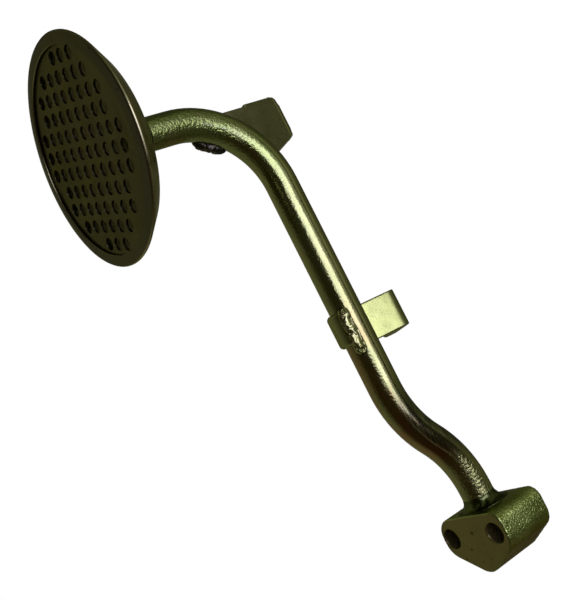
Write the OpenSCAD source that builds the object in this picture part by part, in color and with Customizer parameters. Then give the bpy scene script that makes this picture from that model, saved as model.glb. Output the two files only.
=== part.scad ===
// Oil pickup tube: strainer bell with a perforated screen, bent suction tube,
// two-bolt flange block and two stays.
// Origin: midway between the bolt holes, on the block's mating face. +Z is up.
// The tube leaves the block along -X and the strainer faces down.

/* [Tube] */
// Outside diameter of the tube
tube_d = 14; // [11:0.5:18]
// Wall thickness of the tube
tube_wall = 1.5; // [1:0.1:2]
// Straight length between the block and the jog
end_l = 6.8; // [5:0.1:20]
// Slope of the jog at its steepest
jog_slope = 0.75; // [0.5:0.05:1]
// Centreline radius of the jog's two bends
jog_r = 46; // [36:0.5:60]
// Straight length of the level run
run_l = 95.4; // [80:0.2:140]
// Centreline radius of the bend above the strainer
inlet_r = 37; // [32:0.5:50]
// Straight length between that bend and the tube's lower end
rise_l = 17.8; // [13:0.2:40]

/* [Flange block] */
// Thickness of the block between its two machined faces
block_t = 25; // [21:0.5:36]
// Distance between the two bolt hole centres
bolt_spacing = 28.2; // [26:0.2:40]
// Diameter of each bolt hole
bolt_hole_d = 9; // [6:0.1:10]
// Metal between a bolt hole and the side of its ear, on average
ear_wall = 1.7; // [1.4:0.1:6]
// Sideways shift of the block from the middle of the bolt holes
block_shift = -0.7; // [-1:0.1:1]
// Bolt hole centres to the face that the tube enters
block_near = 8.7; // [7:0.1:14]
// Bolt hole centres to the corner where an ear begins to taper
ear_taper_x = 6.2; // [2:0.1:8]
// Oil port wall to the corner of the nose
nose_wall = 5; // [3:0.1:10]
// Corner radius of the block beside the fuller ear
sharp_corner_r = 5.5; // [1:0.1:7]
// Corner radius of the block beside the leaner ear
soft_corner_r = 8; // [4:0.1:9]
// Corner radius at the taper of each ear
ear_r = 8; // [3:0.1:9]
// Corner radius of the nose
nose_r = 9; // [3:0.1:9]
// Depth of the tube's socket
socket_depth = 9; // [6:0.1:10]
// Diameter of the oil port in the mating face
port_d = 12; // [8:0.1:13]
// Wall between the end of the socket and the oil port
port_gap = 0.2; // [0.1:0.1:2]
// Depth of the oil port below the tube's bore
port_sump = 0.5; // [0.2:0.1:2]

/* [Strainer] */
// Radius of the bell at its folded rim
rim_r = 46.2; // [40:0.2:60]
// Sheet thickness of the bell
bell_t = 1.2; // [0.8:0.1:1.6]
// Height of the bell's steep skirt
skirt_h = 8.2; // [7:0.1:14]
// Width of the skirt in plan
skirt_w = 8.5; // [6:0.1:12]
// Height of the bell's crown, from the skirt to the collar
crown_h = 13; // [8:0.1:20]
// Height of the collar that holds the tube
collar_h = 3; // [3:0.5:12]
// Radius of the bell's shoulder
shoulder_r = 6; // [3:0.5:8]
// Radius at the root of the collar
collar_root_r = 3; // [1.5:0.5:3.5]
// Width of the lip crimped over the screen
lip_w = 5.2; // [4:0.1:7]
// Drop of the lip from the rim to its inner edge
lip_drop = 1; // [0.6:0.1:1.2]
// Width of the screen's edge under the lip
screen_edge = 2.5; // [1.5:0.1:2.6]
// Thickness of the screen
screen_t = 1; // [0.8:0.1:1.2]
// Diameter of the screen's holes
hole_d = 5.4; // [3:0.1:6]
// Distance between hole centres
hole_pitch = 7.35; // [6.6:0.05:10]
// Turn of the rows of holes about the strainer's axis
rows_turn = 21; // [0:1:45]
// Reach of the hole pattern along the rows
rows_reach = 33.8; // [20:0.2:37]
// Reach of the hole pattern across the rows
rows_spread = 39.7; // [20:0.2:40]
// Shift of the hole pattern along the rows
rows_shift = -1.8; // [-2:0.1:2]

/* [Stays] */
// Sheet thickness of both stays
stay_t = 2; // [1.5:0.1:3]
// Inside radius of the fold between the run stay's web and its leg
fold_r = 6; // [2:0.1:7]
// Inside radius of the sharper fold of the bend stay
bend_fold_r = 1.5; // [1:0.1:4]
// Reach of each leg from the back of the tube
leg_reach = 22.6; // [19:0.2:36]
// Diameter of the bolt hole in each leg
leg_hole_d = 9; // [6:0.1:10]
// Bolt hole centre to the end of the leg
leg_hole_end = 9; // [8:0.1:12]
// Corner radius at the end of each leg
leg_corner_r = 4; // [2:0.1:6]
// Width of the run stay
run_stay_w = 17; // [14:0.1:24]
// Middle of the run stay to the jog end of the run
run_stay_x = 27.6; // [20:0.1:50]
// Top of the run stay's leg above the tube's axis
run_stay_rise = 37.1; // [20:0.1:45]
// Angle past the bottom of the tube at which the run stay's wrap ends
wrap_past = 38; // [20:1:50]
// Width of the run stay's wrap
wrap_w = 15; // [12:0.1:22]
// Shift of the wrap and its weld bead from the middle of the stay, towards the bend
wrap_shift = 1.4; // [0:0.1:2]
// Width of the bend stay
bend_stay_w = 20.7; // [17:0.1:26]
// Middle of the bend stay to the axis of the rising tube
bend_stay_x = 6.9; // [5:0.1:10]
// Top of the bend stay's leg above the axis of the run
bend_stay_rise = 24.9; // [18:0.1:35]
// Lower end of the bend stay above the start of the bend
bend_stay_low = 7; // [5:0.1:10]
// Edge of the bend stay's web behind the inner side of the bend
bend_stay_back = 3.4; // [2:0.1:5]
// Radius of the bend stay's upper corners
bend_stay_corner_r = 4; // [1:0.1:6]
// Step from each side of the bend stay's web to its narrower leg
leg_step = 3; // [1:0.1:3.5]
// Width of the notch at the side of the bend stay
notch_w = 0.9; // [0.4:0.1:2]
// Lower end of the bend stay to the top of its notch
notch_h = 36; // [30:0.2:40]

/* [Welds and brazing] */
// Gap at every seat and brazed or welded joint
joint_gap = 0.05; // [0.02:0.01:0.1]
// Size of the braze fillet at the block
flange_fillet = 4.5; // [2:0.1:5]
// Thickness of a braze fillet at its edges
fillet_edge = 0.25; // [0.1:0.05:0.4]
// Radius of the weld beads
bead_r = 2.5; // [2:0.1:3]
// Length of the run stay's weld bead
run_bead_l = 24; // [10:0.5:28]
// Angle round the bend of the middle of the bend stay's weld bead
bend_bead_at = 31; // [28:1:36]
// Length of the bend stay's weld bead
bend_bead_l = 15; // [10:0.5:18]

/* [Hidden] */
$fn = 96;

tube_r = tube_d / 2;
bore_d = tube_d - 2 * tube_wall;
seat_r = tube_r + joint_gap;
// Length added to a cut so that it passes through
past = 1;

// Tube: a straight end at the block, a jog of two bends, the level run, the bend and the rise
tube_z = -block_t / 2;
socket_x = socket_depth - block_near;
jog_angle = atan(jog_slope);
jog_l = 2 * jog_r * sin(jog_angle);
jog_drop = 2 * jog_r * (1 - cos(jog_angle));
end_x = -block_near - end_l;
run_x = end_x - jog_l;
run_z = tube_z - jog_drop;
bend_x = run_x - run_l;
bend_z = run_z - inlet_r;
inlet_x = bend_x - inlet_r;
inlet_z = bend_z - rise_l;
// Centres of the jog's bends, as x and z
JOG_UPPER = [end_x, tube_z - jog_r];
JOG_LOWER = [run_x, run_z + jog_r];

// Block: outline corners as x, y and radius
port_x = socket_x + port_gap + port_d / 2;
port_depth = -tube_z + bore_d / 2 + port_sump;
ear_y = bolt_spacing / 2 + bolt_hole_d / 2 + ear_wall;
BLOCK_CORNERS = [
    [-block_near, block_shift - ear_y, sharp_corner_r],
    [ear_taper_x, block_shift - ear_y, ear_r],
    [port_x + port_d / 2 + nose_wall, block_shift, nose_r],
    [ear_taper_x, block_shift + ear_y, ear_r],
    [-block_near, block_shift + ear_y, soft_corner_r]
];

// Bell: corners of its outer surface as radius and height above the rim
collar_r = seat_r + bell_t;
RIM = [rim_r, 0];
SHOULDER = [rim_r - skirt_w, skirt_h];
NECK = [collar_r, skirt_h + crown_h];
COLLAR = [collar_r, skirt_h + crown_h + collar_h];
lip_r = rim_r - lip_w;
lip_top = bell_t - lip_drop;
screen_r = lip_r + screen_edge;
screen_z = lip_top + joint_gap;
groove_top = screen_z + screen_t + joint_gap;
// Rim plane below the tube's end, which is flush with the root of the collar
rim_z = inlet_z - NECK[1] + bell_t;

// Stays: a web behind the tube, a fold and a level leg
web_y = seat_r;
leg_y = web_y + leg_reach;
run_stay_mid = run_x - run_stay_x;
bend_stay_mid = inlet_x + bend_stay_x;
bend_stay_bottom = bend_z + bend_stay_low;
bend_stay_top = run_z + bend_stay_rise;
// Inner edge of the bend stay, measured from the centre of the bend
bend_stay_inner = inlet_r - tube_r + bend_stay_back;
wrap_end = -90 - wrap_past;

function unit(v) = v / norm(v);
function left_of(v) = [-v.y, v.x];
// Corner b of the line a-b-c, moved to the left by d
function mitre(a, b, c, d) =
    let (u = unit(b - a), v = unit(c - b))
    b + d * (left_of(u) + left_of(v)) / (1 + u * v);
// Distance from corner b to the ends of an arc of radius r that rounds it
function arc_reach(a, b, c, r) = r / tan(acos(unit(a - b) * unit(c - b)) / 2);
function arc_centre(a, b, c, r) =
    let (u = unit(a - b), v = unit(c - b))
    b + unit(u + v) * r / sin(acos(u * v) / 2);
// Points of that arc
function corner_arc(a, b, c, r, steps = 8) =
    let (m = arc_centre(a, b, c, r), reach = arc_reach(a, b, c, r),
         p = b + unit(a - b) * reach - m, q = b + unit(c - b) * reach - m,
         from = atan2(p.y, p.x), turn = (atan2(q.y, q.x) - from + 540) % 360 - 180)
    [for (i = [0 : steps]) m + r * [cos(from + turn * i / steps), sin(from + turn * i / steps)]];
// Radius at height z on the line a-b
function radius_at(a, b, z) = a.x + (b.x - a.x) * (z - a.y) / (b.y - a.y);

// Outline with round corners, each given as x, y and radius, counter-clockwise
module rounded_outline(corners) {
    n = len(corners);
    xy = [for (c = corners) [c.x, c.y]];
    ends = [for (i = [0 : n - 1])
        let (a = xy[(i + n - 1) % n], b = xy[i], c = xy[(i + 1) % n],
             reach = arc_reach(a, b, c, corners[i].z))
        each [b + unit(a - b) * reach, b + unit(c - b) * reach]];
    polygon(ends);
    for (i = [0 : n - 1])
        translate(arc_centre(xy[(i + n - 1) % n], xy[i], xy[(i + 1) % n], corners[i].z))
            circle(corners[i].z);
}

module tube_section() {
    difference() {
        circle(d = tube_d);
        circle(d = bore_d);
    }
}

// Straight tube of length l along +X or, with tilt 0, along +Z
module straight(l, tilt = 90) {
    rotate([0, tilt, 0]) linear_extrude(l) tube_section();
}

// Ring of tube of centreline radius r, square to Y
module ring(r) {
    rotate([90, 0, 0]) rotate_extrude() translate([r, 0]) tube_section();
}

// Part of the children inside a triangle drawn in x and z
module sector(a, b, c) {
    intersection() {
        children();
        rotate([90, 0, 0]) linear_extrude(2 * tube_d, center = true) polygon([a, b, c]);
    }
}

module pickup_tube() {
    color("darkkhaki") {
        translate([end_x, 0, tube_z]) straight(socket_x - joint_gap - end_x);
        sector(JOG_UPPER, JOG_LOWER, JOG_UPPER + [0, 2 * jog_r])
            translate([JOG_UPPER.x, 0, JOG_UPPER.y]) ring(jog_r);
        sector(JOG_LOWER, JOG_UPPER, JOG_LOWER - [0, 2 * jog_r])
            translate([JOG_LOWER.x, 0, JOG_LOWER.y]) ring(jog_r);
        translate([bend_x, 0, run_z]) straight(run_l);
        sector([bend_x, bend_z], [bend_x, bend_z + 2 * inlet_r], [bend_x - 2 * inlet_r, bend_z])
            translate([bend_x, 0, bend_z]) ring(inlet_r);
        translate([inlet_x, 0, inlet_z]) straight(rise_l, 0);
    }
}

module bell_section() {
    inner_shoulder = mitre(RIM, SHOULDER, NECK, bell_t);
    inner_neck = mitre(SHOULDER, NECK, COLLAR, bell_t);
    inner_collar = COLLAR - [bell_t, 0];
    inner_rim = RIM + bell_t * left_of(unit(SHOULDER - RIM));
    polygon(concat(
        [[lip_r, -lip_drop], RIM],
        corner_arc(RIM, SHOULDER, NECK, shoulder_r),
        corner_arc(SHOULDER, NECK, COLLAR, collar_root_r),
        [COLLAR, inner_collar],
        corner_arc(inner_collar, inner_neck, inner_shoulder, collar_root_r + bell_t),
        corner_arc(inner_neck, inner_shoulder, inner_rim, shoulder_r - bell_t),
        [[radius_at(inner_rim, inner_shoulder, groove_top), groove_top],
         [screen_r + joint_gap, groove_top],
         [screen_r + joint_gap, lip_top],
         [lip_r, lip_top]]
    ));
}

module strainer_bell() {
    color("darkolivegreen") translate([inlet_x, 0, rim_z]) rotate_extrude() bell_section();
}

module strainer_screen() {
    rows = ceil(rows_spread / hole_pitch);
    cols = ceil(rows_reach / hole_pitch);
    color("olive") translate([inlet_x, 0, rim_z + screen_z]) linear_extrude(screen_t) difference() {
        circle(screen_r);
        rotate(rows_turn - 90) translate([rows_shift, 0]) for (row = [-rows : rows], col = [-cols : cols]) {
            p = [(col + 0.5) * hole_pitch, row * hole_pitch];
            inside = pow(p.x / rows_reach, 2) + pow(p.y / rows_spread, 2) <= 1;
            clear = norm(p + [rows_shift, 0]) + hole_d / 2 < lip_r;
            if (inside && clear) translate(p) circle(d = hole_d, $fn = 48);
        }
    }
}

module flange_block() {
    color("darkkhaki") difference() {
        translate([0, 0, -block_t]) linear_extrude(block_t) rounded_outline(BLOCK_CORNERS);
        for (side = [-1, 1]) translate([0, side * bolt_spacing / 2, -block_t - past])
            cylinder(d = bolt_hole_d, h = block_t + 2 * past);
        translate([-block_near - past, 0, tube_z]) rotate([0, 90, 0])
            cylinder(r = seat_r, h = socket_depth + past);
        translate([socket_x - past, 0, tube_z]) rotate([0, 90, 0])
            cylinder(d = bore_d, h = port_x - socket_x + past);
        translate([port_x, 0, -port_depth]) cylinder(d = port_d, h = port_depth + past);
    }
}

// Web, fold of inside radius r and leg of a stay seen along X, with y across and z up
module fold_section(bottom, top, r) {
    out = r + stay_t;
    translate([web_y, bottom]) square([stay_t, top - out - bottom]);
    translate([web_y + out, top - out]) intersection() {
        difference() {
            circle(out);
            circle(r);
        }
        translate([-out, 0]) square(out);
    }
    translate([web_y + out, top - stay_t]) square([leg_reach - out, stay_t]);
}

// A section seen along X becomes a strip of width w, centred on x = 0
module strip(w) {
    rotate([90, 0, 90]) linear_extrude(w, center = true) children();
}

// Cuts the leg of a stay of width w: corners rounded at its end, and its bolt hole
module leg_cuts(w, top) {
    inset = w / 2 - leg_corner_r;
    for (side = [0, 1]) mirror([side, 0, 0])
        translate([inset, leg_y - leg_corner_r, top - stay_t - past]) linear_extrude(stay_t + 2 * past)
            difference() {
                square(leg_corner_r + past);
                circle(leg_corner_r);
            }
    translate([0, leg_y - leg_hole_end, top - stay_t - past])
        cylinder(d = leg_hole_d, h = stay_t + 2 * past);
}

// Wedge from angle a to angle b about the tube's axis, wider than any strip round it
module wedge(a, b) {
    reach = 3 * (seat_r + stay_t);
    polygon(concat([[0, 0]], [for (i = [0 : 3]) let (t = a + (b - a) * i / 3) reach * [cos(t), sin(t)]]));
}

module run_stay() {
    color("yellowgreen") translate([run_stay_mid, 0, run_z]) difference() {
        union() {
            strip(run_stay_w) fold_section(0, run_stay_rise, fold_r);
            translate([-wrap_shift, 0, 0]) strip(wrap_w) intersection() {
                difference() {
                    circle(seat_r + stay_t);
                    circle(seat_r);
                }
                wedge(wrap_end, 0);
            }
        }
        leg_cuts(run_stay_w, run_stay_rise);
    }
}

// Cuts the two upper corners of a stay's web and fold: x across from its middle, z up from its top
module corner_cuts(w, r, depth) {
    rotate([90, 0, 0]) linear_extrude(depth + past) for (side = [0, 1]) mirror([side, 0])
        translate([w / 2 - r, -r]) difference() {
            square(r + past);
            circle(r);
        }
}

module bend_stay() {
    left_x = bend_stay_mid - bend_stay_w / 2;
    fold_out = bend_fold_r + stay_t;
    fold_y = web_y + fold_out;
    color("darkolivegreen") difference() {
        translate([bend_stay_mid, 0, 0]) strip(bend_stay_w)
            fold_section(bend_stay_bottom, bend_stay_top, bend_fold_r);
        translate([bend_stay_mid, 0, 0]) leg_cuts(bend_stay_w - 2 * leg_step, bend_stay_top);
        translate([bend_stay_mid, fold_y, bend_stay_top])
            corner_cuts(bend_stay_w, bend_stay_corner_r, fold_out);
        for (side = [-1, 1]) translate([bend_stay_mid + side * bend_stay_w / 2, fold_y, bend_stay_top])
            translate([-leg_step, 0, -stay_t - past]) cube([2 * leg_step, leg_reach, stay_t + 2 * past]);
        translate([bend_x, web_y - past, bend_z]) rotate([-90, 0, 0])
            cylinder(r = bend_stay_inner, h = stay_t + 2 * past);
        translate([left_x - past, web_y - past, bend_stay_bottom - past])
            cube([notch_w + past, stay_t + 2 * past, notch_h + past]);
    }
}

// Concave fillet of size s in the corner at the origin, blunt at both edges
module fillet_section(s) {
    difference() {
        square(s);
        translate([s + fillet_edge, s + fillet_edge]) circle(s);
    }
}

module flange_braze() {
    color("darkolivegreen") translate([-block_near - joint_gap, 0, tube_z]) rotate([0, -90, 0])
        rotate_extrude() translate([seat_r, 0]) fillet_section(flange_fillet);
}

module collar_braze() {
    color("darkolivegreen") translate([inlet_x, 0, rim_z + COLLAR.y + joint_gap])
        rotate_extrude() translate([seat_r, 0]) fillet_section(bell_t);
}

module run_stay_weld() {
    // The bead lies on the tube against the end of the wrap
    bead_at = wrap_end - asin(bead_r / 4 / seat_r);
    gap_angle = asin(joint_gap / seat_r);
    color("olive") translate([run_stay_mid - wrap_shift, 0, run_z]) strip(run_bead_l) difference() {
        translate(seat_r * [cos(bead_at), sin(bead_at)]) circle(bead_r);
        circle(seat_r);
        wedge(wrap_end - gap_angle, 0);
    }
}

module bend_stay_weld() {
    // A straight bead bridges the inside of the bend, in the corner between the tube and the web
    bead_y = web_y - bead_r;
    bead_from = inlet_r - tube_r + 0.8 * bead_r;
    color("olive") translate([bend_x, 0, bend_z]) difference() {
        rotate([0, bend_bead_at - 180, 0]) translate([bead_from, bead_y, -bend_bead_l / 2])
            cylinder(r = bead_r, h = bend_bead_l);
        rotate([90, 0, 0]) rotate_extrude() translate([inlet_r, 0]) circle(seat_r);
        translate([-inlet_r, web_y - joint_gap, 0]) cube([inlet_r, past + joint_gap, inlet_r]);
    }
}

pickup_tube();
strainer_bell();
strainer_screen();
flange_block();
run_stay();
bend_stay();
flange_braze();
collar_braze();
run_stay_weld();
bend_stay_weld();
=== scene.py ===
import math

import bmesh
import bpy
import numpy as np
from mathutils import Matrix, Vector, noise


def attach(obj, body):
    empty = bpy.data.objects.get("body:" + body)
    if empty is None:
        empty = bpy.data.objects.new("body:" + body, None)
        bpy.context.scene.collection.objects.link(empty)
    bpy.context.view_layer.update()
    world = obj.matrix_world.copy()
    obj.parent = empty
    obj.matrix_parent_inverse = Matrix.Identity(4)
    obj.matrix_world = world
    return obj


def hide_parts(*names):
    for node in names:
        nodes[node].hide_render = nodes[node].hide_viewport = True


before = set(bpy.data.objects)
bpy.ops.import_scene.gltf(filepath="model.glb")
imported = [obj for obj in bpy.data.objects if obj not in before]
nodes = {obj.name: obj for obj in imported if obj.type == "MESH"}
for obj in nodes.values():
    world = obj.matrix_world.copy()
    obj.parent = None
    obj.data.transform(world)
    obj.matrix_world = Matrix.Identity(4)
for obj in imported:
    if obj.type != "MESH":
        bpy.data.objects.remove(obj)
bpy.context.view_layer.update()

MM = 0.001

# Main sizes of the part, in millimetres
TUBE_R = 7.0
RUN_Z = -30.9
BEND_X, BEND_Z, BEND_R = -166.1, -67.9, 37.0
STRAINER_X = -203.1
RIM_Z = -105.7
COLLAR_H = 24.2
BLOCK_NEAR = -8.7
TUBE_END_Z = -12.5
# Distance from the tube's axis at which the weld beads end, within its wall
BEAD_FLOOR = 6.7


# Camera and studio

def make_camera():
    """A camera below and in front of the part, as in the photograph."""
    eye = Vector((-93.3647, -323.0040, -263.0002)) * MM
    right = Vector((0.44644397, -0.45985561, 0.76760706))
    down = Vector((0.8920825, 0.2956812, -0.34170373))
    ahead = Vector((-0.0698326, 0.8373204, 0.54223423))
    turn = Matrix((right, -down, -ahead)).transposed()
    data = bpy.data.cameras.new("camera")
    data.sensor_width = 36.0
    data.lens = 57.2706
    data.clip_start, data.clip_end = 0.01, 50.0
    data.dof.use_dof = False
    camera = bpy.data.objects.new("camera", data)
    camera.matrix_world = Matrix.Translation(eye) @ turn.to_4x4()
    bpy.context.scene.collection.objects.link(camera)
    bpy.context.scene.camera = camera


def area_lamp(name, place, target, width, height, watts, tint=(1.0, 1.0, 1.0)):
    data = bpy.data.lights.new(name, "AREA")
    data.shape = "RECTANGLE"
    data.size, data.size_y = width, height
    data.energy = watts
    data.color = tint
    lamp = bpy.data.objects.new(name, data)
    place, target = Vector(place), Vector(target)
    lamp.location = place
    lamp.rotation_euler = (target - place).to_track_quat("-Z", "Y").to_euler()
    bpy.context.scene.collection.objects.link(lamp)
    return lamp


def card(name, spans, shade):
    """A flat card of even light that only reflections see; one of its spans in x, y and z is nil."""
    (x0, x1), (y0, y1), (z0, z1) = spans
    if z0 == z1:
        corners = [(x0, y0, z0), (x1, y0, z0), (x1, y1, z0), (x0, y1, z0)]
    elif y0 == y1:
        corners = [(x0, y0, z0), (x1, y0, z0), (x1, y0, z1), (x0, y0, z1)]
    else:
        corners = [(x0, y0, z0), (x0, y1, z0), (x0, y1, z1), (x0, y0, z1)]
    mesh = bpy.data.meshes.new(name)
    mesh.from_pydata(corners, [], [(0, 1, 2, 3)])
    piece = bpy.data.objects.new(name, mesh)
    bpy.context.scene.collection.objects.link(piece)
    material = bpy.data.materials.new(name)
    material.use_nodes = True
    tree = material.node_tree
    tree.nodes.clear()
    glow = tree.nodes.new("ShaderNodeEmission")
    glow.inputs["Color"].default_value = (*shade, 1)
    out = tree.nodes.new("ShaderNodeOutputMaterial")
    tree.links.new(glow.outputs[0], out.inputs["Surface"])
    mesh.materials.append(material)
    piece.visible_camera = False
    piece.visible_diffuse = False
    piece.visible_shadow = False


def plain_material(name, colour, roughness):
    material = bpy.data.materials.new(name)
    material.use_nodes = True
    shader = material.node_tree.nodes["Principled BSDF"]
    shader.inputs["Base Color"].default_value = (*colour, 1)
    shader.inputs["Roughness"].default_value = roughness
    shader.inputs["Specular IOR Level"].default_value = 0.0
    return material


def white_world():
    """White wherever the camera, a reflection or glass looks past the part, and a softer light elsewhere."""
    world = bpy.data.worlds.new("studio")
    bpy.context.scene.world = world
    world.use_nodes = True
    tree = world.node_tree
    tree.nodes.clear()
    out = tree.nodes.new("ShaderNodeOutputWorld")
    seen = tree.nodes.new("ShaderNodeBackground")
    fill = tree.nodes.new("ShaderNodeBackground")
    mix = tree.nodes.new("ShaderNodeMixShader")
    path = tree.nodes.new("ShaderNodeLightPath")
    either = tree.nodes.new("ShaderNodeMath")
    any_of = tree.nodes.new("ShaderNodeMath")
    for node in (either, any_of):
        node.operation = "MAXIMUM"
    seen.inputs["Color"].default_value = (1, 1, 1, 1)
    seen.inputs["Strength"].default_value = 1.0
    fill.inputs["Color"].default_value = (1.0, 1.0, 0.98, 1)
    fill.inputs["Strength"].default_value = 0.5
    link = tree.links.new
    link(path.outputs["Is Camera Ray"], either.inputs[0])
    link(path.outputs["Is Glossy Ray"], either.inputs[1])
    link(either.outputs[0], any_of.inputs[0])
    link(path.outputs["Is Transmission Ray"], any_of.inputs[1])
    link(any_of.outputs[0], mix.inputs["Fac"])
    link(fill.outputs[0], mix.inputs[1])
    link(seen.outputs[0], mix.inputs[2])
    link(mix.outputs[0], out.inputs["Surface"])


def make_floor(z):
    mesh = bpy.data.meshes.new("floor")
    half = 4.0
    corners = [(-half, -half, z), (half, -half, z), (half, half, z), (-half, half, z)]
    mesh.from_pydata(corners, [], [(0, 1, 2, 3)])
    floor = bpy.data.objects.new("floor", mesh)
    bpy.context.scene.collection.objects.link(floor)
    mesh.materials.append(plain_material("pale_floor", (0.86, 0.86, 0.84), 0.9))


# Effects that the finishes share

def new_group(name, inputs, outputs):
    """A shader node group: inputs are (name, kind, value), outputs are (name, kind)."""
    tree = bpy.data.node_groups.new(name, "ShaderNodeTree")
    for label, kind, value in inputs:
        socket = tree.interface.new_socket(label, in_out="INPUT", socket_type="NodeSocket" + kind)
        socket.default_value = value
    for label, kind in outputs:
        tree.interface.new_socket(label, in_out="OUTPUT", socket_type="NodeSocket" + kind)
    return tree, tree.nodes.new("NodeGroupInput"), tree.nodes.new("NodeGroupOutput")


def put(tree, kind, inputs=None, **settings):
    """A node with its settings; each input takes a value or another node's output."""
    node = tree.nodes.new("ShaderNode" + kind)
    for key, value in settings.items():
        setattr(node, key, value)
    for key, value in (inputs or {}).items():
        if isinstance(value, bpy.types.NodeSocket):
            tree.links.new(value, node.inputs[key])
        else:
            node.inputs[key].default_value = value
    return node


def math_node(tree, operation, a, b=0.0):
    return put(tree, "Math", {0: a, 1: b}, operation=operation).outputs[0]


def span(tree, value, low, high, to_low=0.0, to_high=1.0):
    """A value from low to high, drawn out smoothly over another span."""
    return put(tree, "MapRange", {"Value": value, "From Min": low, "From Max": high,
                                  "To Min": to_low, "To Max": to_high},
               interpolation_type="SMOOTHSTEP").outputs["Result"]


def blend(tree, factor, a, b):
    """One colour going over into another; each may be a value or another node's output."""
    node = tree.nodes.new("ShaderNodeMix")
    node.data_type = "RGBA"
    for key, value in ((0, factor), (6, a), (7, b)):
        if isinstance(value, bpy.types.NodeSocket):
            tree.links.new(value, node.inputs[key])
        elif key == 0:
            node.inputs[key].default_value = value
        else:
            node.inputs[key].default_value = (*value[:3], 1)
    return node.outputs[2]


# Painted shade colour of the dark stretch along the part
PAINTED_SHADE_COLOUR = (0.018, 0.020, 0.009)
SPECK_COLOUR = (0.012, 0.011, 0.004)
STAIN_COLOUR = (0.012, 0.010, 0.004)


def make_plating_group():
    """Uneven chromate colour: olive and gold patches, green towards the strainer, a rose tint towards the
    block that is kept to downward-facing faces as a painted warm reflection, a streaky painted shade stretch,
    and specks."""
    tree, into, out = new_group(
        "plating_colour",
        [("Olive", "Color", (0.1, 0.1, 0.04, 1)), ("Gold", "Color", (0.2, 0.18, 0.07, 1)),
         ("Green", "Color", (0.1, 0.13, 0.03, 1)), ("Rose", "Color", (0.15, 0.09, 0.05, 1)),
         ("Patch Size", "Float", 70.0), ("Green Share", "Float", 0.0), ("Green Until", "Float", 1.0),
         ("Rose Share", "Float", 0.3), ("Rose From", "Float", -1.0), ("Speck Share", "Float", 0.3),
         ("Dark Share", "Float", 0.0), ("Dark From", "Float", 0.0), ("Dark Until", "Float", 0.0)],
        [("Color", "Color")])
    place = put(tree, "TexCoord").outputs["Object"]
    along = put(tree, "SeparateXYZ", {0: place}).outputs["X"]
    facing = put(tree, "SeparateXYZ", {0: put(tree, "NewGeometry").outputs["Normal"]}).outputs["Z"]
    patches = put(tree, "TexNoise", {"Vector": place, "Scale": into.outputs["Patch Size"],
                                     "Detail": 4.0, "Roughness": 0.6}).outputs["Fac"]
    stretched = put(tree, "Mapping", {"Vector": place, "Scale": (0.35, 1.0, 1.0),
                                      "Location": (0.3, 0.1, 0.7)}).outputs[0]
    streaks = put(tree, "TexNoise", {"Vector": stretched, "Scale": 110.0, "Detail": 3.0}).outputs["Fac"]
    fine = put(tree, "TexNoise", {"Vector": place, "Scale": 950.0, "Detail": 2.0}).outputs["Fac"]
    base = blend(tree, span(tree, patches, 0.38, 0.66), into.outputs["Olive"], into.outputs["Gold"])
    until = math_node(tree, "SUBTRACT", into.outputs["Green Until"], along)
    greens = math_node(tree, "MULTIPLY", span(tree, until, -0.03, 0.03), into.outputs["Green Share"])
    base = blend(tree, math_node(tree, "MULTIPLY", greens, span(tree, streaks, 0.25, 0.55)),
                 base, into.outputs["Green"])
    # Rose towards the block, only on downward-facing faces: partly the film's own tint, partly a painted warm
    # reflection on the undersides
    since = math_node(tree, "SUBTRACT", along, into.outputs["Rose From"])
    roses = math_node(tree, "MULTIPLY", span(tree, since, -0.03, 0.03), into.outputs["Rose Share"])
    roses = math_node(tree, "MULTIPLY", roses, span(tree, facing, 0.20, -0.45))
    roses = math_node(tree, "MULTIPLY", roses, span(tree, along, -0.024, -0.040))
    base = blend(tree, math_node(tree, "MULTIPLY", roses, span(tree, streaks, 0.62, 0.42)),
                 base, into.outputs["Rose"])
    # Painted shade: a dark stretch along the part on its upper side and flanks, broken into lengthwise
    # scratch-like streaks
    tilted = put(tree, "Mapping", {"Vector": place, "Rotation": (0.0, 0.5, 0.0),
                                   "Scale": (0.05, 1.0, 1.0)}).outputs[0]
    shade_streaks = put(tree, "TexNoise", {"Vector": tilted, "Scale": 900.0, "Detail": 2.0}).outputs["Fac"]
    dark = math_node(tree, "MULTIPLY", into.outputs["Dark Share"], span(tree, facing, -0.75, -0.30))
    begun = math_node(tree, "SUBTRACT", along, into.outputs["Dark From"])
    left = math_node(tree, "SUBTRACT", into.outputs["Dark Until"], along)
    for reach in (begun, left):
        dark = math_node(tree, "MULTIPLY", dark, span(tree, reach, -0.010, 0.010))
    dark = math_node(tree, "MULTIPLY", dark, span(tree, shade_streaks, 0.42, 0.60, 0.95, 0.40))
    base = blend(tree, dark, base, PAINTED_SHADE_COLOUR)
    specks = math_node(tree, "MULTIPLY", span(tree, fine, 0.60, 0.70), into.outputs["Speck Share"])
    base = blend(tree, specks, base, SPECK_COLOUR)
    tree.links.new(base, out.inputs["Color"])
    return tree


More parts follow.
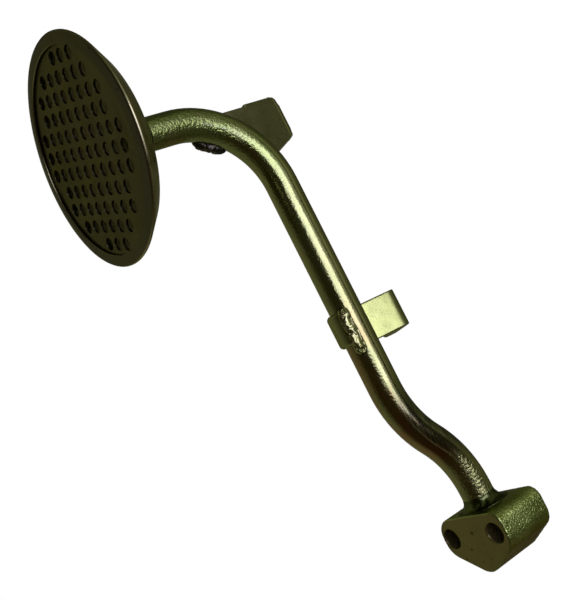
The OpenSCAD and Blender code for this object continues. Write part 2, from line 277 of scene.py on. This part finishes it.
def make_skin_group():
    """The fine skin of a plated surface: a grainy height, rougher in patches, coarse below one height or
    past one place along the part, and a roughness that goes with it."""
    tree, into, out = new_group(
        "plated_skin",
        [("Grain Size", "Float", 900.0), ("Wave Size", "Float", 120.0), ("Wave Share", "Float", 0.4),
         ("Smoothest", "Float", 0.2), ("Roughest", "Float", 0.4), ("Coarse Below", "Float", -1.0),
         ("Coarse Past", "Float", 1.0)],
        [("Height", "Float"), ("Roughness", "Float")])
    place = put(tree, "TexCoord").outputs["Object"]
    grain = put(tree, "TexNoise", {"Vector": place, "Scale": into.outputs["Grain Size"],
                                   "Detail": 3.0, "Roughness": 0.65}).outputs["Fac"]
    wave = put(tree, "TexNoise", {"Vector": place, "Scale": into.outputs["Wave Size"],
                                  "Detail": 2.0}).outputs["Fac"]
    parts = put(tree, "SeparateXYZ", {0: place})
    depth = math_node(tree, "SUBTRACT", into.outputs["Coarse Below"], parts.outputs["Z"])
    past = math_node(tree, "SUBTRACT", parts.outputs["X"], into.outputs["Coarse Past"])
    near = math_node(tree, "MAXIMUM", span(tree, depth, -0.012, 0.012), span(tree, past, -0.008, 0.008))
    broad_size = math_node(tree, "MULTIPLY", into.outputs["Grain Size"], 0.8)
    broad = put(tree, "TexNoise", {"Vector": place, "Detail": 2.0, "Scale": broad_size}).outputs["Fac"]
    coarse = math_node(tree, "MULTIPLY", math_node(tree, "MULTIPLY", near, 11.0), broad)
    patchy = math_node(tree, "MULTIPLY", grain, span(tree, wave, 0.38, 0.62, 0.3, 1.0))
    patchy = math_node(tree, "ADD", patchy, coarse)
    height = math_node(tree, "ADD", patchy, math_node(tree, "MULTIPLY", wave, into.outputs["Wave Share"]))
    rough = put(tree, "MapRange", {"Value": wave, "From Min": 0.3, "From Max": 0.7,
                                   "To Min": into.outputs["Smoothest"], "To Max": into.outputs["Roughest"]})
    rough = math_node(tree, "ADD", rough.outputs["Result"], math_node(tree, "MULTIPLY", near, 0.10))
    tree.links.new(height, out.inputs["Height"])
    tree.links.new(rough, out.inputs["Roughness"])
    return tree


def make_edge_group():
    """Where an edge takes its finish's edge colour, rubbed bright on most finishes and painted shade on the
    bend stay, and a normal that rounds it a little.
    """
    tree, into, out = new_group(
        "edge_wear_and_shade", [("Radius", "Float", 0.0005)], [("Wear And Shade", "Float"), ("Normal", "Vector")])
    rounded = put(tree, "Bevel", {"Radius": into.outputs["Radius"]}, samples=6)
    flat = put(tree, "NewGeometry").outputs["Normal"]
    dot = put(tree, "VectorMath", {0: rounded.outputs[0], 1: flat}, operation="DOT_PRODUCT").outputs["Value"]
    place = put(tree, "TexCoord").outputs["Object"]
    broken = put(tree, "TexNoise", {"Vector": place, "Scale": 420.0, "Detail": 3.0}).outputs["Fac"]
    wear_and_edge_shade = math_node(tree, "MULTIPLY", span(tree, dot, 0.98, 0.80), span(tree, broken, 0.30, 0.62))
    tree.links.new(wear_and_edge_shade, out.inputs["Wear And Shade"])
    tree.links.new(rounded.outputs[0], out.inputs["Normal"])
    return tree


PLATING = make_plating_group()
SKIN = make_skin_group()
EDGES = make_edge_group()


def group_node(tree, group, **values):
    """A shared effect in a material; each value goes to the input of that name."""
    node = tree.nodes.new("ShaderNodeGroup")
    node.node_tree = group
    for key, value in values.items():
        node.inputs[key.replace("_", " ")].default_value = value
    return node


def plated_finish(name, olive, gold, rose, rough, bump, green=(0.1, 0.13, 0.03), green_share=0.0,
                  green_until=1.0, rose_share=0.3, rose_from=-1.0, dark=(0.0, 0.0, 0.0), specks=0.3,
                  grain=1000.0, wave_share=0.4, coarse_below=-1.0, coarse_past=1.0,
                  wear_and_edge_shade=(0.32, 0.31, 0.18), edge=0.5, metallic=1.0, coat=0.4, cut=None, cut_above=True):
    """Zinc under a chromate film. Bump is the depth of its grain and edge the width of its edge band, both in
    millimetres; the edge band is rubbed bright on most finishes and painted shade on the bend stay. Where cut
    is given, level faces (only the lower ones unless cut_above) are smoother and of that colour: machined
    faces on the block, and painted shade on the bell's downward-facing lip. Dark is the share of a painted
    shade stretch along the part, and where it starts and ends."""
    material = bpy.data.materials.new(name)
    material.use_nodes = True
    tree = material.node_tree
    shader = tree.nodes["Principled BSDF"]
    colour = group_node(tree, PLATING, Olive=(*olive, 1), Gold=(*gold, 1), Green=(*green, 1), Rose=(*rose, 1),
                        Green_Share=green_share, Green_Until=green_until,
                        Rose_Share=rose_share, Rose_From=rose_from, Speck_Share=specks,
                        Dark_Share=dark[0], Dark_From=dark[1], Dark_Until=dark[2])
    skin = group_node(tree, SKIN, Grain_Size=grain, Wave_Share=wave_share, Smoothest=rough[0],
                      Roughest=rough[1], Coarse_Below=coarse_below, Coarse_Past=coarse_past)
    edges = group_node(tree, EDGES, Radius=edge * MM)
    film, height = colour.outputs["Color"], skin.outputs["Height"]
    # Level faces take the cut colour: machined faces on the block, painted shade on the bell's
    # downward-facing lip
    if cut:
        facing = put(tree, "SeparateXYZ", {0: put(tree, "NewGeometry").outputs["Normal"]}).outputs["Z"]
        if cut_above:
            level = math_node(tree, "ABSOLUTE", facing)
        else:
            level = math_node(tree, "MULTIPLY", facing, -1.0)
        level = span(tree, level, 0.75, 0.95)
        film = blend(tree, math_node(tree, "MULTIPLY", level, 0.9), film, cut)
        place = put(tree, "TexCoord").outputs["Object"]
        stains = put(tree, "TexNoise", {"Vector": place, "Scale": 330.0, "Detail": 3.0}).outputs["Fac"]
        stains = math_node(tree, "MULTIPLY", math_node(tree, "MULTIPLY", level, 0.7),
                           span(tree, stains, 0.66, 0.71))
        film = blend(tree, stains, film, STAIN_COLOUR)
        height = math_node(tree, "MULTIPLY", height, math_node(tree, "SUBTRACT", 1.06, level))
    # Edge colour: rubbed bright on most finishes, painted shade on the bend stay
    worn_and_shaded = blend(tree, edges.outputs["Wear And Shade"], film, wear_and_edge_shade)
    bumped = put(tree, "Bump", {"Strength": 1.0, "Distance": bump * MM, "Height": height,
                                "Normal": edges.outputs["Normal"]})
    tree.links.new(worn_and_shaded, shader.inputs["Base Color"])
    tree.links.new(skin.outputs["Roughness"], shader.inputs["Roughness"])
    tree.links.new(bumped.outputs["Normal"], shader.inputs["Normal"])
    shader.inputs["Metallic"].default_value = metallic
    shader.inputs["Specular Tint"].default_value = (0.35, 0.35, 0.22, 1)
    shader.inputs["Coat Weight"].default_value = coat
    shader.inputs["Coat Roughness"].default_value = 0.12
    return material


# On the tube, the rose on its undersides near the jog is partly a painted warm reflection, and the dark
# stretch over the jog is painted shade
TUBE_FINISH = plated_finish(
    "tube_plating", (0.15, 0.155, 0.056), (0.185, 0.185, 0.076), (0.185, 0.105, 0.040), (0.11, 0.19), 0.035,
    green=(0.12, 0.15, 0.040), green_share=0.9, green_until=-0.165, rose_share=0.92, rose_from=-0.095,
    dark=(0.9, -0.067, -0.034), grain=1200.0, wave_share=0.2, coarse_below=-0.038, coarse_past=-0.030)
# On the bell's sheet the cut colour is painted shade: its downward-facing lip is painted darker than the rest
# of the sheet
SHEET_FINISH = plated_finish(
    "sheet_plating", (0.166, 0.152, 0.078), (0.212, 0.196, 0.108), (0.174, 0.134, 0.078), (0.20, 0.32), 0.03,
    wear_and_edge_shade=(0.17, 0.165, 0.09), edge=0.35, coat=0.2, cut=(0.060, 0.053, 0.038), cut_above=False)
INSIDE_FINISH = plated_finish(
    "sheet_inside", (0.127, 0.107, 0.031), (0.150, 0.127, 0.038), (0.110, 0.082, 0.026), (0.45, 0.65), 0.03,
    metallic=0.29, coat=0.0)
SCREEN_FINISH = plated_finish(
    "screen_plating", (0.088, 0.080, 0.050), (0.106, 0.097, 0.062), (0.092, 0.075, 0.046), (0.26, 0.38), 0.03,
    wear_and_edge_shade=(0.07, 0.065, 0.03), edge=0.3, coat=0.1)
BLOCK_FINISH = plated_finish(
    "block_plating", (0.165, 0.20, 0.054), (0.26, 0.315, 0.098), (0.19, 0.16, 0.06), (0.13, 0.23), 0.028,
    grain=1600.0, wave_share=0.05, coarse_past=-0.5, specks=0.5, wear_and_edge_shade=(0.42, 0.45, 0.22), edge=0.6, coat=0.15,
    cut=(0.124, 0.099, 0.043))
BORE_FINISH = plated_finish(
    "bore_plating", (0.095, 0.076, 0.028), (0.120, 0.096, 0.036), (0.105, 0.074, 0.030), (0.30, 0.45), 0.02,
    wear_and_edge_shade=(0.12, 0.11, 0.06), metallic=0.8, coat=0.1)
# The bend stay's edge colour is painted shade: a near-black line along its edges and fold, over the light
# they would catch
BEND_STAY_FINISH = plated_finish(
    "bend_stay_plating", (0.134, 0.134, 0.064), (0.152, 0.150, 0.072), (0.150, 0.128, 0.060),
    (0.12, 0.17), 0.008, wave_share=0.15, wear_and_edge_shade=(0.03, 0.03, 0.012), edge=0.4, coat=0.1)
RUN_STAY_FINISH = plated_finish(
    "run_stay_plating", (0.165, 0.178, 0.075), (0.185, 0.197, 0.088), (0.17, 0.168, 0.075),
    (0.20, 0.26), 0.002, wave_share=0.0, wear_and_edge_shade=(0.26, 0.25, 0.12), edge=0.4, coat=0.15)
WELD_FINISH = plated_finish(
    "weld_plating", (0.19, 0.195, 0.070), (0.27, 0.275, 0.130), (0.18, 0.155, 0.065), (0.24, 0.34), 0.04)
# Painted shade: the bead under the bend is painted near black for the shade it sits in
SHADED_WELD_FINISH = plated_finish(
    "painted_shade_weld", (0.015, 0.015, 0.007), (0.04, 0.04, 0.02), (0.03, 0.02, 0.01), (0.25, 0.45), 0.08)
BRAZE_FINISH = plated_finish(
    "braze_plating", (0.036, 0.043, 0.013), (0.066, 0.078, 0.025), (0.042, 0.036, 0.015), (0.18, 0.32), 0.06,
    coat=0.1)


# Pieces that stand for solids

def add_piece(name, mesh, finish, slot, *replaced):
    """A piece on the part's body with its finish; it stands for the solids it replaces."""
    piece = bpy.data.objects.new(name, mesh)
    bpy.context.scene.collection.objects.link(piece)
    mesh.materials.clear()
    mesh.materials.append(finish)
    mesh.shade_smooth()
    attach(piece, "root")
    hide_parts(*replaced)
    return piece


def eased_copy(node, voxel, steps):
    """A close-meshed copy of a solid with its sharp edges eased, in metres."""
    work = bpy.data.objects.new("work", nodes[node].data.copy())
    bpy.context.scene.collection.objects.link(work)
    skin = work.modifiers.new("skin", "REMESH")
    skin.mode = "VOXEL"
    skin.voxel_size = voxel * MM
    ease = work.modifiers.new("ease", "SMOOTH")
    ease.factor, ease.iterations = 0.5, steps
    shown = work.evaluated_get(bpy.context.evaluated_depsgraph_get())
    mesh = bpy.data.meshes.new_from_object(shown)
    bpy.data.objects.remove(work)
    return mesh


def read_points(mesh):
    flat = np.zeros(len(mesh.vertices) * 3)
    mesh.vertices.foreach_get("co", flat)
    return flat.reshape(-1, 3)


def roughen(mesh, lift):
    """Moves each point along its normal by lift(point, normal), in millimetres."""
    points = read_points(mesh)
    normals = np.array([v.normal for v in mesh.vertices])
    by = np.array([lift(Vector(p) / MM, n) for p, n in zip(points, normals)])
    points += normals * by[:, None] * MM
    mesh.vertices.foreach_set("co", points.ravel())
    mesh.update()


def closed_loops(name, loops, capped):
    """A mesh through equal loops of points in millimetres, joined in a ring or capped at both ends."""
    count, size = len(loops), len(loops[0])
    points = [tuple(Vector(p) * MM) for loop in loops for p in loop]
    faces = []
    for i in range(count if not capped else count - 1):
        a, b = i * size, (i + 1) % count * size
        faces += [(a + j, a + (j + 1) % size, b + (j + 1) % size, b + j) for j in range(size)]
    if capped:
        for row, turn in ((0, -1), (count - 1, 1)):
            faces.append(tuple(range(row * size, (row + 1) * size))[::turn])
    mesh = bpy.data.meshes.new(name)
    mesh.from_pydata(points, [], faces)
    work = bmesh.new()
    work.from_mesh(mesh)
    bmesh.ops.recalc_face_normals(work, faces=work.faces)
    work.to_mesh(mesh)
    work.free()
    return mesh


def rounded(corners, steps=6):
    """A closed outline through corners given as x, y and radius."""
    path = []
    for i, (x, y, r) in enumerate(corners):
        b = Vector((x, y))
        to_a = (Vector(corners[i - 1][:2]) - b).normalized()
        to_c = (Vector(corners[(i + 1) % len(corners)][:2]) - b).normalized()
        if r == 0:
            path.append(b)
            continue
        half = to_a.angle(to_c) / 2
        middle = b + (to_a + to_c).normalized() * r / math.sin(half)
        first = b + to_a * r / math.tan(half) - middle
        last = b + to_c * r / math.tan(half) - middle
        for k in range(steps + 1):
            path.append(middle + first.lerp(last, k / steps).normalized() * r)
    return path


def revolve(name, outline, origin, axis, start, steps):
    """Turns an outline about an axis; outline(angle) gives its points as radius and height."""
    axis, start, origin = Vector(axis), Vector(start), Vector(origin)
    side = axis.cross(start)
    loops = []
    for i in range(steps):
        t = 2 * math.pi * i / steps
        out = start * math.cos(t) + side * math.sin(t)
        loops.append([origin + out * r + axis * h for r, h in outline(t)])
    return closed_loops(name, loops, capped=False)


def round_noise(angle, scale, seed):
    """Smooth noise round a circle."""
    return noise.noise(Vector((math.cos(angle) * scale, math.sin(angle) * scale, seed)))


def make_bell():
    """The pressed bell: a collar, a cone and a lip crimped round the screen."""
    # Corners of its section: radius, height and how far each is rounded
    section = rounded([
        (41.0, -1.0, 0.45), (47.1, -0.27, 0.8), (37.7, 8.2, 6.0), (8.25, 21.2, 3.0), (8.25, COLLAR_H, 0.4),
        (7.05, COLLAR_H, 0.3), (7.05, 20.42, 4.2), (37.02, 7.19, 4.8), (43.12, 1.3, 0), (43.55, 1.3, 0),
        (43.55, 0.2, 0), (41.0, 0.2, 0.3)])

    def outline(t):
        # The crimped lip waves a little, and less so towards the rim
        wave = 0.22 * round_noise(t, 2.2, 3.1) + 0.10 * round_noise(t, 7.0, 8.2)
        out = []
        for r, h in section:
            near = min(max((46.0 - r) / 5.0, 0.0), 1.0) if h < 0.3 else 0.0
            out.append((r + wave * near, h))
        return out
    mesh = revolve("bell_sheet", outline, (STRAINER_X, 0, RIM_Z), (0, 0, 1), (1, 0, 0), 240)
    add_piece("bell_sheet", mesh, SHEET_FINISH, "plated_sheet", "strainer_bell")
    mesh.materials.append(INSIDE_FINISH)
    # The inner run of the section, from the collar's top edge down to the groove
    first, last = 41, 57
    for face in mesh.polygons:
        if first <= face.index % len(section) < last:
            face.material_index = 1


def make_fillet(name, origin, axis, start, size, wave, node, seed):
    """A concave ring of braze round the tube, its edges run out unevenly."""
    def outline(t):
        far = size * (1 + wave * round_noise(t, 1.6, seed) + 0.5 * wave * round_noise(t, 5.0, seed + 4))
        tall = size * (1 + wave * round_noise(t, 1.9, seed + 9) + 0.5 * wave * round_noise(t, 6.0, seed + 2))
        arc = []
        for k in range(13):
            a = math.pi / 2 * k / 12
            lump = 0.06 * size * noise.noise(Vector((math.cos(t) * 4, math.sin(t) * 4, k * 0.35 + seed)))
            arc.append((TUBE_R + 0.08 + far * (1 - math.sin(a)) + lump * math.sin(2 * a),
                        0.08 + tall * (1 - math.cos(a)) + lump * math.sin(2 * a)))
        return arc + [(TUBE_R - 0.25, tall + 0.02), (TUBE_R - 0.25, -0.2), (TUBE_R + far, -0.2)]
    mesh = revolve(name, outline, origin, axis, start, 144)
    add_piece(name, mesh, BRAZE_FINISH, "plated_weld", node)


def crossing(table, t):
    """The height at t of straight lines through rows of two numbers."""
    return float(np.interp(t, [row[0] for row in table], [row[1] for row in table]))


def make_run_bead():
    """The bead that joins the run stay's wrap to the tube: glossy wandering ridges, a crater at each end."""
    first, last = -108.2, -87.0
    foot, mean_r = 6.85, 8.5
    # Section of the bead as degrees round the tube and distance from the tube's axis
    section = [(-156, 6.9), (-152, 7.35), (-147, 8.0), (-141, 8.6), (-135, 9.05), (-129.5, 9.3), (-125, 9.3),
               (-121, 9.15), (-117, 8.7)]
    centre, spread = -136.5, 19.5
    pits = [(first + 1.7, -138.0, 0.6), (last - 2.1, -140.0, 1.0)]
    rows, size = 200, 56
    loops = []
    for i in range(rows + 1):
        x = first + (last - first) * i / rows
        edge = min(x - first, last - x)
        ends = min(1.0, edge / 2.4) ** 0.5
        middle = centre + 2.5 * noise.noise(Vector((x * 0.22, 1.7, 4.4)))
        loop = []
        for j in range(size):
            q = 2 * j / (size - 1) - 1
            degrees = middle + spread * q * (0.45 + 0.55 * ends)
            r = crossing(section, centre + spread * q)
            arc = math.radians(degrees) * mean_r
            swing = 1.3 * noise.noise(Vector((x * 0.33, arc * 0.2, 9.1)))
            ridge = 1 - abs(2.4 * noise.noise(Vector((x * 0.22 + 3.3, arc * 0.72 + swing, 2.6))))
            ripple = math.sin(2 * math.pi * (x / 2.6 + 0.4 * q * q + swing * 0.5))
            grain = noise.noise(Vector((x * 1.1, arc * 1.1, 5.0)))
            lift = 0.32 * (ridge - 0.50) + 0.07 * ripple + 0.05 * grain
            for pit_x, pit_degrees, pit_size in pits:
                away = math.hypot(x - pit_x, arc - math.radians(pit_degrees) * mean_r) / pit_size
                lift += 0.32 * math.exp(-((away - 1.35) / 0.42) ** 2) - 0.85 * math.exp(-(away / 0.9) ** 2)
            r = foot + (r - foot + lift * (1 - q ** 6)) * ends
            a = math.radians(degrees)
            loop.append((x, r * math.cos(a), RUN_Z + r * math.sin(a)))
        for q in (1, 0.5, 0, -0.5, -1):
            a = math.radians(middle + spread * q * (0.45 + 0.55 * ends))
            loop.append((x, BEAD_FLOOR * math.cos(a), RUN_Z + BEAD_FLOOR * math.sin(a)))
        loops.append(loop)
    mesh = closed_loops("run_weld_bead", loops, capped=True)
    add_piece("run_weld_bead", mesh, WELD_FINISH, "plated_weld", "run_stay_weld")


def on_bend(point):
    """Keeps a point of the bead out of the bend's bore."""
    flat = Vector((point.x - BEND_X, 0, point.z - BEND_Z))
    ring = flat.normalized() * BEND_R
    out = Vector((point.x - BEND_X, point.y, point.z - BEND_Z)) - ring
    if out.length < BEAD_FLOOR:
        out = out.normalized() * BEAD_FLOOR
    return Vector((BEND_X, 0, BEND_Z)) + ring + out


def make_bend_bead():
    """The lumpy bead between the inside of the bend and the bend stay; its finish is painted shade, near
    black.
    """
    middle, along = Vector((-192.50, 4.55, -52.04)), Vector((-0.515, 0, -0.857))
    up, half, radius = Vector((0, -1, 0)), 7.6, 2.65
    side = along.cross(up)
    rows, size = 110, 64
    loops = []
    for i in range(rows + 1):
        s = half * (2 * i / rows - 1)
        ends = max(0.02, 1 - abs(s / half) ** 3) ** 0.5
        loop = []
        for j in range(size):
            a = 2 * math.pi * j / size
            at = Vector((s * 0.55, math.cos(a) * 1.3, math.sin(a) * 1.3 + 7.9))
            lumps = 0.20 * noise.noise(at) + 0.11 * noise.noise(at * 2.7) + 0.05 * noise.noise(at * 6.1)
            r = radius * (1 + lumps) * ends
            loop.append(on_bend(middle + along * s + up * (r * math.cos(a)) + side * (r * math.sin(a))))
        loops.append(loop)
    mesh = closed_loops("bend_weld_bead", loops, capped=True)
    add_piece("bend_weld_bead", mesh, SHADED_WELD_FINISH, "plated_weld", "bend_stay_weld")


# The block's two bolt holes and its oil port: middle in x and y, and radius
BORES = ((0.0, -14.1, 4.5), (0.0, 14.1, 4.5), (6.5, 0.0, 6.0))


def in_bore(p, past):
    """Whether a point lies in one of the bores or less than past outside it."""
    return any(math.hypot(p.x - x, p.y - y) < r + past for x, y, r in BORES)


def cast_lift(p, n):
    """Cast skin of the block's sides; its two flat faces and its bores are cut smooth."""
    in_socket = p.x > BLOCK_NEAR + 0.5 and math.hypot(p.y, p.z - TUBE_END_Z) < TUBE_R + 0.4
    if abs(n[2]) > 0.7 or in_bore(p, 0.5) or in_socket:
        return 0.0
    return 0.05 * noise.noise(p * 1.1) + 0.05 * noise.noise(p * 2.3)


def share_between(value, low, high):
    """How far a value is on its way from low to high, from 0 to 1."""
    return min(max((value - low) / (high - low), 0.0), 1.0)


def ease_corner(u, v, r, old=0.0):
    """Rounds the corner between two edges to radius r. A point's distances from them are u and v, and old is
    the radius that the corner has so far."""
    if u >= r or v >= r:
        return u, v
    away = math.hypot(r - u, r - v)
    if away < 1e-6:
        return u, v
    c, s, k = (r - u) / away, (r - v) / away, r - old
    reach = r / max(c, s)
    inside = (k * (c + s)) ** 2 - 2 * k * k + old * old
    if old and inside > 0:
        reach = min(reach, k * (c + s) + math.sqrt(inside))
    return r - (r - u) * r / reach, r - (r - v) * r / reach


def shape_bend_stay(p):
    """The web's upper corners are rounder, and its side towards the run slants out on its way down."""
    left, right, top = -206.55, -185.85, -6.0
    web_back, fold_back, corner_r = 9.3, 10.6, 4.0
    if p.y < fold_back:
        u, v = ease_corner(p.x - left, top - p.z, 5.4, corner_r)
        p = Vector((left + u, p.y, top - v))
        u, v = ease_corner(right - p.x, top - p.z, 5.0, corner_r)
        p = Vector((right - u, p.y, top - v))
    # How far the side stands out at each height
    slant = [(-40.0, 0.0), (-24.0, 4.2), (-19.0, 4.2), (-10.5, 0.4), (-9.0, 0.0)]
    share = share_between(p.x, right - 9.0, right) if p.y < web_back else 0.0
    p = Vector((p.x + crossing(slant, p.z) * share, p.y, p.z))
    # The web's inner edge keeps behind the tube
    out, inner_r = Vector((p.x - BEND_X, 0, p.z - BEND_Z)), 36.5
    if p.z < -30 and p.x < -178 and out.length < inner_r:
        out *= (inner_r - 0.2 * (inner_r - out.length)) / out.length
    return Vector((BEND_X + out.x, p.y, BEND_Z + out.z))


def shape_run_stay(p):
    """The outer edges of the wrap are well rounded. The leg widens a little towards the block, and its end
    lies further out past the hole."""
    leg_z, hole_x, hole_y, wider, longer = 3.9, -98.3, 20.65, 1.3, 4.0
    if p.z > leg_z:
        share = share_between(p.x, -95.0, -89.8) * share_between(p.y, 10.0, 24.0)
        past_hole = p.y > 24.0 and math.hypot(p.x - hole_x, p.y - hole_y) > 5.0
        return Vector((p.x + wider * share, p.y + (longer if past_hole else 0.0), p.z))
    middle, half, inside, outside = -99.7, 7.5, 6.9, 9.05
    from_axis = math.hypot(p.y, p.z - RUN_Z)
    if p.z > RUN_Z or from_axis < inside or from_axis > outside + 0.15:
        return p
    side = 1 if p.x > middle else -1
    u, v = ease_corner(half - abs(p.x - middle), outside - from_axis, 1.9)
    scale = (outside - v) / from_axis
    return Vector((middle + side * (half - u), p.y * scale, RUN_Z + (p.z - RUN_Z) * scale))


def reshape(mesh, rule):
    """Moves each point to rule(point), in millimetres."""
    for vertex in mesh.vertices:
        vertex.co = rule(vertex.co / MM) * MM
    mesh.update()


def sheet_lift(p, n):
    """Slight waviness left in a pressed strip."""
    return 0.02 * noise.noise(p * 0.25)


def make_block():
    """The cast block, with its bores in a duller finish."""
    mesh = eased_copy("flange_block", 0.4, 4)
    roughen(mesh, cast_lift)
    add_piece("flange_casting", mesh, BLOCK_FINISH, "plated_block", "flange_block")
    mesh.materials.append(BORE_FINISH)
    for face in mesh.polygons:
        if abs(face.normal.z) < 0.7 and in_bore(face.center / MM, 0.35):
            face.material_index = 1


def make_strip(node, rule, finish):
    """A folded stay with eased edges, reshaped by its rule."""
    mesh = eased_copy(node, 0.3, 5)
    reshape(mesh, rule)
    roughen(mesh, sheet_lift)
    return add_piece(node + "_strip", mesh, finish, "plated_strip", node)


make_block()
run_strip = make_strip("run_stay", shape_run_stay, RUN_STAY_FINISH)
make_strip("bend_stay", shape_bend_stay, BEND_STAY_FINISH)
make_bell()
make_fillet("flange_fillet", (BLOCK_NEAR, 0, TUBE_END_Z), (-1, 0, 0), (0, 1, 0), 4.4, 0.10,
            "flange_braze", 1.3)
make_fillet("collar_fillet", (STRAINER_X, 0, RIM_Z + COLLAR_H), (0, 0, 1), (1, 0, 0), 1.3, 0.12,
            "collar_braze", 5.7)
make_run_bead()
make_bend_bead()

# Solids that stay in view keep their own mesh; the rest are stood for by the pieces above
for name, finish in (("pickup_tube", TUBE_FINISH), ("strainer_screen", SCREEN_FINISH)):
    mesh = nodes[name].data
    mesh.materials.clear()
    mesh.materials.append(finish)
for name in ("strainer_bell", "flange_block", "run_stay", "bend_stay", "flange_braze", "collar_braze",
             "run_stay_weld", "bend_stay_weld"):
    nodes[name].data.materials.clear()
    nodes[name].data.materials.append(TUBE_FINISH)


# The set up round the part

make_camera()
white_world()
make_floor(-0.30)
HEART = (-0.11, 0.0, -0.04)
area_lamp("front_lamp", (-0.185, -0.52, -0.10), (-0.185, 0.0, -0.10), 0.23, 0.40, 1.5, (1.0, 1.0, 1.38))
area_lamp("side_lamp", (0.0, -0.52, 0.0), (0.0, 0.0, 0.0), 0.14, 0.27, 0.56, (1.0, 1.0, 1.38))
# Two lamps shine on the run stay alone
TAB = (-0.098, 0.008, -0.012)
for lamp in (area_lamp("high_lamp", (-0.0795, -0.575, 0.44), TAB, 0.26, 0.24, 1.45),
             area_lamp("fold_lamp", (-0.09, -0.400, 0.43), TAB, 0.22, 0.14, 0.20)):
    lit = bpy.data.collections.new(lamp.name + "_lights")
    lit.objects.link(run_strip)
    lamp.light_linking.receiver_collection = lit
area_lamp("top_lamp", (0.1, 0.3, 1.0), HEART, 0.8, 0.8, 2.0)
# Cards round the part: spans in x, y and z, and the light they show
FLOOR, ROOF = (-0.295, -0.295), (0.45, 0.45)
CARDS = {
    "front_cloth": ((-1.0, -0.11), (-0.74, 0.03), FLOOR, (0.06, 0.06, 0.03)),
    "warm_cloth": ((-0.11, 1.0), (-0.74, 0.03), FLOOR, (0.07, 0.045, 0.02)),
    "under_cloth": ((-1.0, 1.0), (0.03, 0.12), FLOOR, (0.14, 0.14, 0.08)),
    "back_cloth": ((-1.0, 1.0), (0.12, 0.28), FLOOR, (0.28, 0.28, 0.18)),
    "rear_cloth": ((-1.0, 1.0), (0.28, 0.95), FLOOR, (0.38, 0.38, 0.26)),
    "left_board": ((-1.0, -0.14), (-0.75, -0.48), ROOF, (0.22, 0.22, 0.15)),
    "right_board": ((-0.14, 1.0), (-0.75, -0.48), ROOF, (0.05, 0.05, 0.03)),
    "left_panel": ((-1.0, -0.06), (-0.48, -0.25), ROOF, (0.60, 0.60, 0.42)),
    "right_panel": ((-0.06, 1.0), (-0.48, -0.25), ROOF, (0.24, 0.24, 0.16)),
    "roof_board": ((-1.0, 0.3), (-0.25, 0.0), ROOF, (0.25, 0.25, 0.16)),
    "back_board": ((-1.0, 0.3), (0.0, 1.0), ROOF, (0.17, 0.17, 0.11)),
    "warm_board": ((0.3, 1.0), (-0.25, 1.0), ROOF, (0.19, 0.14, 0.09)),
    "left_wall": ((-0.90, -0.90), (-0.30, 0.95), (-0.29, 0.60), (0.12, 0.13, 0.08)),
    "left_screen": ((-0.90, -0.90), (-0.95, -0.30), (-0.29, 0.60), (0.35, 0.37, 0.22)),
    "right_wall": ((0.90, 0.90), (-0.98, 0.50), (-0.29, 0.90), (0.15, 0.15, 0.09)),
    "right_screen": ((0.90, 0.90), (0.50, 0.95), (-0.29, 0.90), (0.35, 0.35, 0.22)),
    "front_wall": ((0.06, 0.90), (-0.98, -0.98), (-0.29, 0.90), (0.08, 0.075, 0.045)),
    "back_wall": ((-0.90, 0.90), (0.95, 0.95), (-0.29, 0.50), (0.45, 0.45, 0.32)),
}
for name, (*spans, shade) in CARDS.items():
    card(name, spans, shade)

bpy.context.scene.view_settings.view_transform = "Standard"
